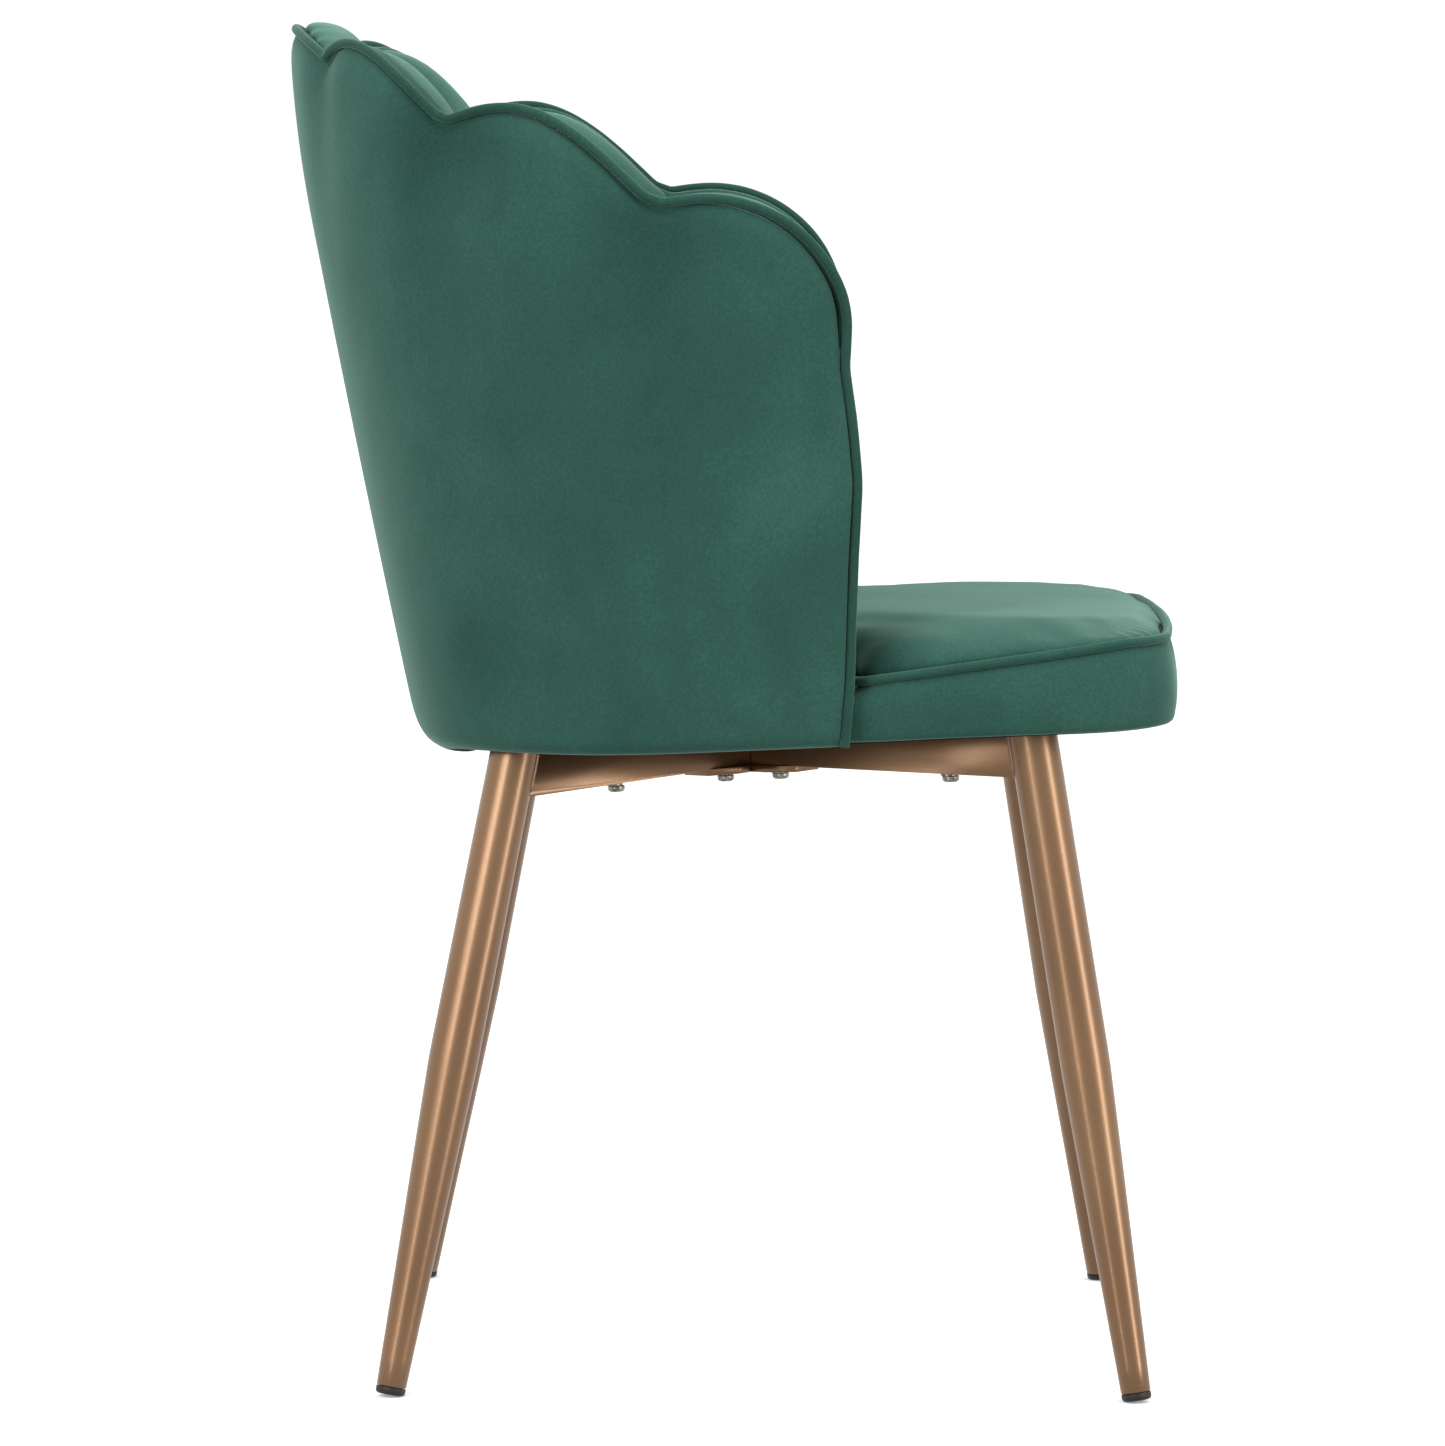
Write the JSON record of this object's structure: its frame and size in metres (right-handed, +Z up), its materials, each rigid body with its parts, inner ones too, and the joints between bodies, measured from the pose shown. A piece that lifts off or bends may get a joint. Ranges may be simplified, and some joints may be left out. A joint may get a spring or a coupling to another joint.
{
  "type": "dining chair",
  "caption": "Dining chair with a padded wrap-around petal back, a boxed seat cushion with welt, and tapered round steel legs on an X frame.",
  "frame": {"origin": "on the floor, below the middle of the chair's overall box", "axes": "+Z up, -Y the way the sitter faces, +X to the sitter's left"},
  "size_m": [0.4796, 0.5547, 0.82],
  "materials": {
    "green_velvet": "short-pile velvet, brushed",
    "gold_paint": "satin metallic paint",
    "zinc_steel": "bright zinc plated",
    "black_plastic": "moulded matt",
    "birch_plywood": "raw, unsanded",
    "black_fleece": "spunbonded dust cover"
  },
  "bodies": {
    "root": {"back_outer_cover": "green_velvet", "back_pad_centre": "green_velvet", "back_pad_shoulder_left": "green_velvet", "back_pad_shoulder_right": "green_velvet", "back_pad_side_left": "green_velvet", "back_pad_side_right": "green_velvet", "back_pad_wing_left": "green_velvet", "back_pad_wing_right": "green_velvet", "back_shell_plywood": "birch_plywood", "back_welt": "green_velvet", "bolt_front_left_inner": "zinc_steel", "bolt_front_left_outer": "zinc_steel", "bolt_front_right_inner": "zinc_steel", "bolt_front_right_outer": "zinc_steel", "bolt_rear_left_inner": "zinc_steel", "bolt_rear_left_outer": "zinc_steel", "bolt_rear_right_inner": "zinc_steel", "bolt_rear_right_outer": "zinc_steel", "bracket_left": "zinc_steel", "bracket_rear": "zinc_steel", "bracket_right": "zinc_steel", "bracket_screw_seat_left": "zinc_steel", "bracket_screw_seat_rear": "zinc_steel", "bracket_screw_seat_right": "zinc_steel", "bracket_screw_wall_left": "zinc_steel", "bracket_screw_wall_rear": "zinc_steel", "bracket_screw_wall_right": "zinc_steel", "dust_cover": "black_fleece", "foot_cap_front_left": "black_plastic", "foot_cap_front_right": "black_plastic", "foot_cap_rear_left": "black_plastic", "foot_cap_rear_right": "black_plastic", "frame_arm_front_left": "gold_paint", "frame_arm_front_right": "gold_paint", "frame_arm_rear_left": "gold_paint", "frame_arm_rear_right": "gold_paint", "leg_front_left": "gold_paint", "leg_front_right": "gold_paint", "leg_rear_left": "gold_paint", "leg_rear_right": "gold_paint", "seat_board_plywood": "birch_plywood", "seat_cushion": "green_velvet", "seat_welt": "green_velvet", "spring_washer_front_left_inner": "zinc_steel", "spring_washer_front_left_outer": "zinc_steel", "spring_washer_front_right_inner": "zinc_steel", "spring_washer_front_right_outer": "zinc_steel", "spring_washer_rear_left_inner": "zinc_steel", "spring_washer_rear_left_outer": "zinc_steel", "spring_washer_rear_right_inner": "zinc_steel", "spring_washer_rear_right_outer": "zinc_steel", "tee_nut_front_left_inner": "zinc_steel", "tee_nut_front_left_outer": "zinc_steel", "tee_nut_front_right_inner": "zinc_steel", "tee_nut_front_right_outer": "zinc_steel", "tee_nut_rear_left_inner": "zinc_steel", "tee_nut_rear_left_outer": "zinc_steel", "tee_nut_rear_right_inner": "zinc_steel", "tee_nut_rear_right_outer": "zinc_steel"}
  },
  "joints": []
}
